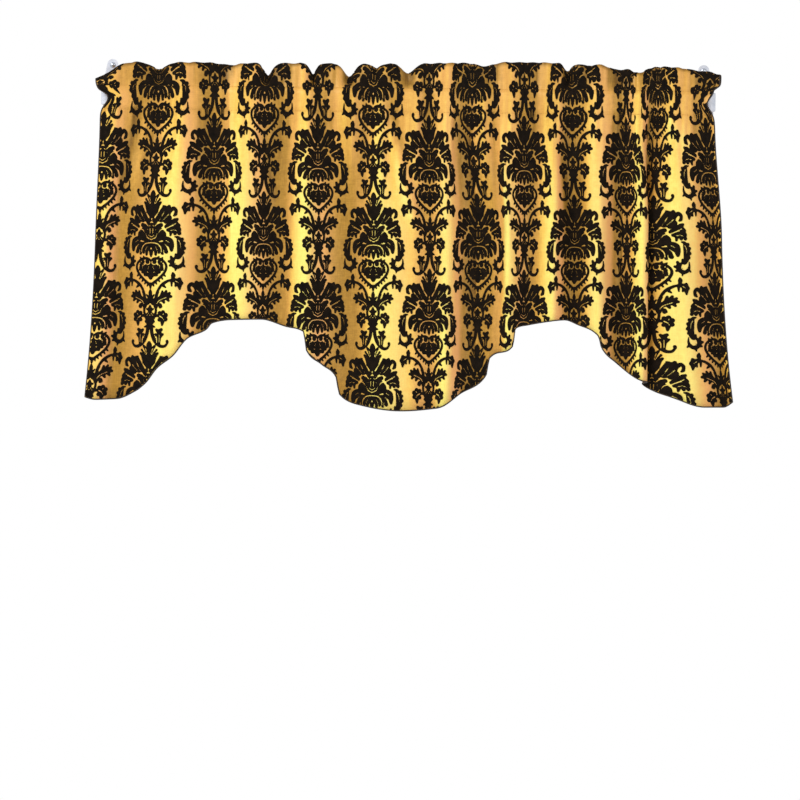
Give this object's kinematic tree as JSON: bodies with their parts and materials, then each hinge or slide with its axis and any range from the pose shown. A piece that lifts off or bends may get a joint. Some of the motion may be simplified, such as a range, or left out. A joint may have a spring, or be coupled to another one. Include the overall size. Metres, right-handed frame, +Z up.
{
  "type": "scalloped rod-pocket window valance on a curtain rod with wall brackets",
  "caption": "Gold window valance with black flocked damask and a scalloped hem, gathered by its rod pocket on a flat white curtain rod that wall brackets hold.",
  "frame": {"origin": "on the wall, midway between the two brackets, at the height of the rod's middle", "axes": "+X along the rod to the viewer's right, +Y into the wall, +Z up, so the front faces -Y"},
  "size_m": [0.8558, 0.0733, 0.4621],
  "materials": {
    "flocked_damask": "gold taffeta with a soft sheen and near-black flocked damask",
    "white_enamel": "smooth white enamel on sheet steel",
    "plated_steel": "bright zinc plate"
  },
  "bodies": {
    "root": {"valance": "flocked_damask", "rod_half_left": "white_enamel", "rod_half_right": "white_enamel", "bracket_left": "white_enamel", "bracket_right": "white_enamel", "screw_left_upper": "plated_steel", "screw_left_lower": "plated_steel", "screw_right_upper": "plated_steel", "screw_right_lower": "plated_steel"}
  },
  "joints": []
}
